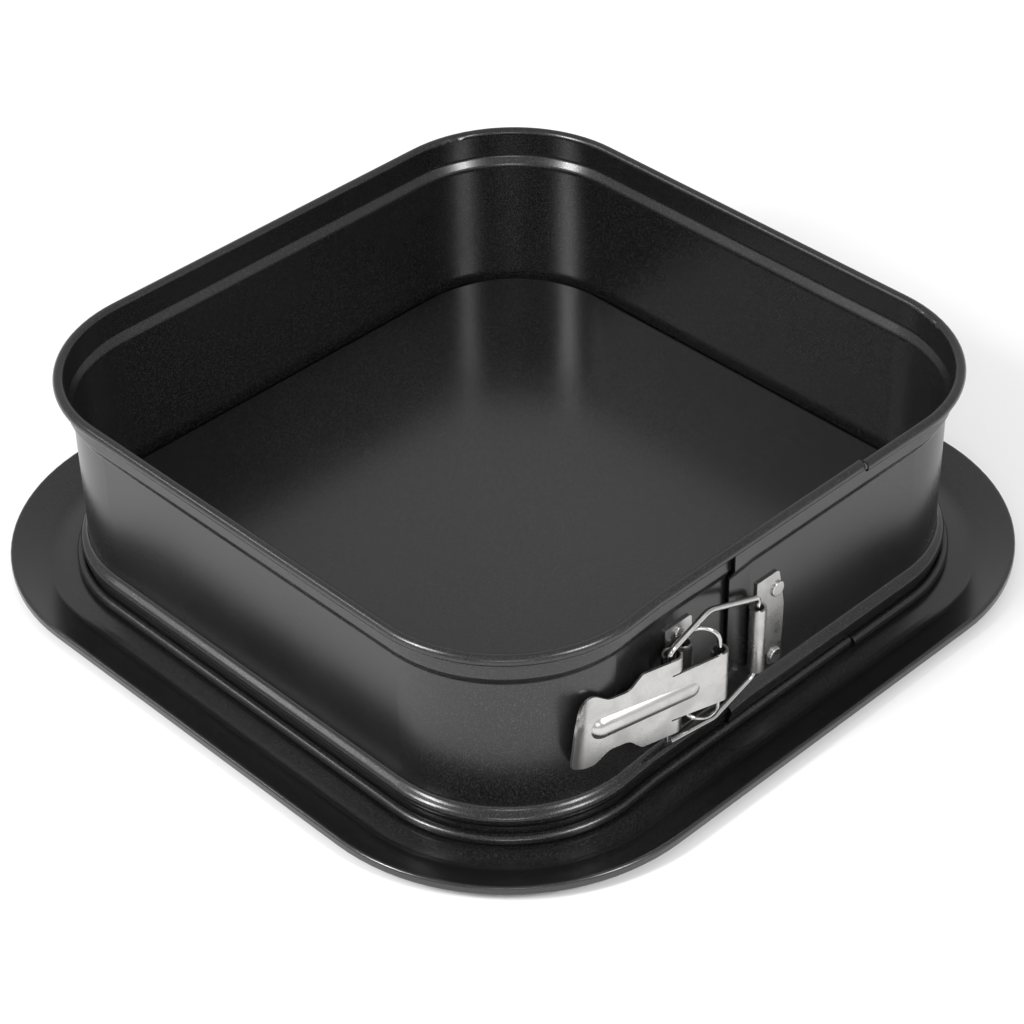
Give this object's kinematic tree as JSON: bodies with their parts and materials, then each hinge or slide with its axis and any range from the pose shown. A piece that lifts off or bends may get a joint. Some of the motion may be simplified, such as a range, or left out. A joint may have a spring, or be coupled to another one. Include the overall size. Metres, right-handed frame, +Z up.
{
  "type": "springform pan",
  "caption": "square springform pan with rounded corners: a wide-rimmed tray base, a lift-off sprung band with rolled edges and an over-centre wire latch",
  "frame": {"origin": "on the table, under the middle of the tray", "axes": "+Z up; -Y is the wall that carries the latch; +X runs along that wall from the lever's thumb end to the far bracket"},
  "size_m": [0.2966, 0.2966, 0.0804],
  "materials": {
    "tray_coat": "dark graphite non-stick coating, satin, fine metallic fleck",
    "band_coat": "dark graphite non-stick coating, satin, fine metallic fleck",
    "plated_sheet": "bright nickel-plated stamped steel, lightly brushed",
    "wire": "bright drawn and plated steel wire",
    "rivet": "plated steel, satin"
  },
  "bodies": {
    "base": {"base_tray": "tray_coat"},
    "band": {"band": "band_coat", "far_bracket": "plated_sheet", "near_bracket": "plated_sheet", "far_rivet_upper": "rivet", "far_rivet_lower": "rivet", "near_rivet_upper": "rivet", "near_rivet_lower": "rivet"},
    "link": {"link_wire": "wire"},
    "lever": {"lever": "plated_sheet"},
    "bail": {"bail_wire": "wire"}
  },
  "joints": [
    {"name": "band_lift", "type": "slide", "parent": "base", "child": "band", "axis": [0, 0, 1], "range_m": [0, 0.1]},
    {"name": "link_swing", "type": "hinge", "parent": "band", "child": "link", "pos_m": [-0.043, -0.1218, 0.041], "axis": [0, 0, 1], "range_deg": [-12, 0]},
    {"name": "lever_swing", "type": "hinge", "parent": "link", "child": "lever", "pos_m": [-0.0353, -0.13, 0.041], "axis": [0, 0, 1], "range_deg": [0, 91.6]},
    {"name": "bail_swing", "type": "hinge", "parent": "band", "child": "bail", "pos_m": [-0.009, -0.1229, 0.0351], "axis": [0, 0, 1], "range_deg": [0, 31.3]}
  ],
  "couplings": [
    {"joint": "link_swing", "follows": "lever_swing", "ratio": -0.1308},
    {"joint": "bail_swing", "follows": "lever_swing", "ratio": 0.3415}
  ]
}
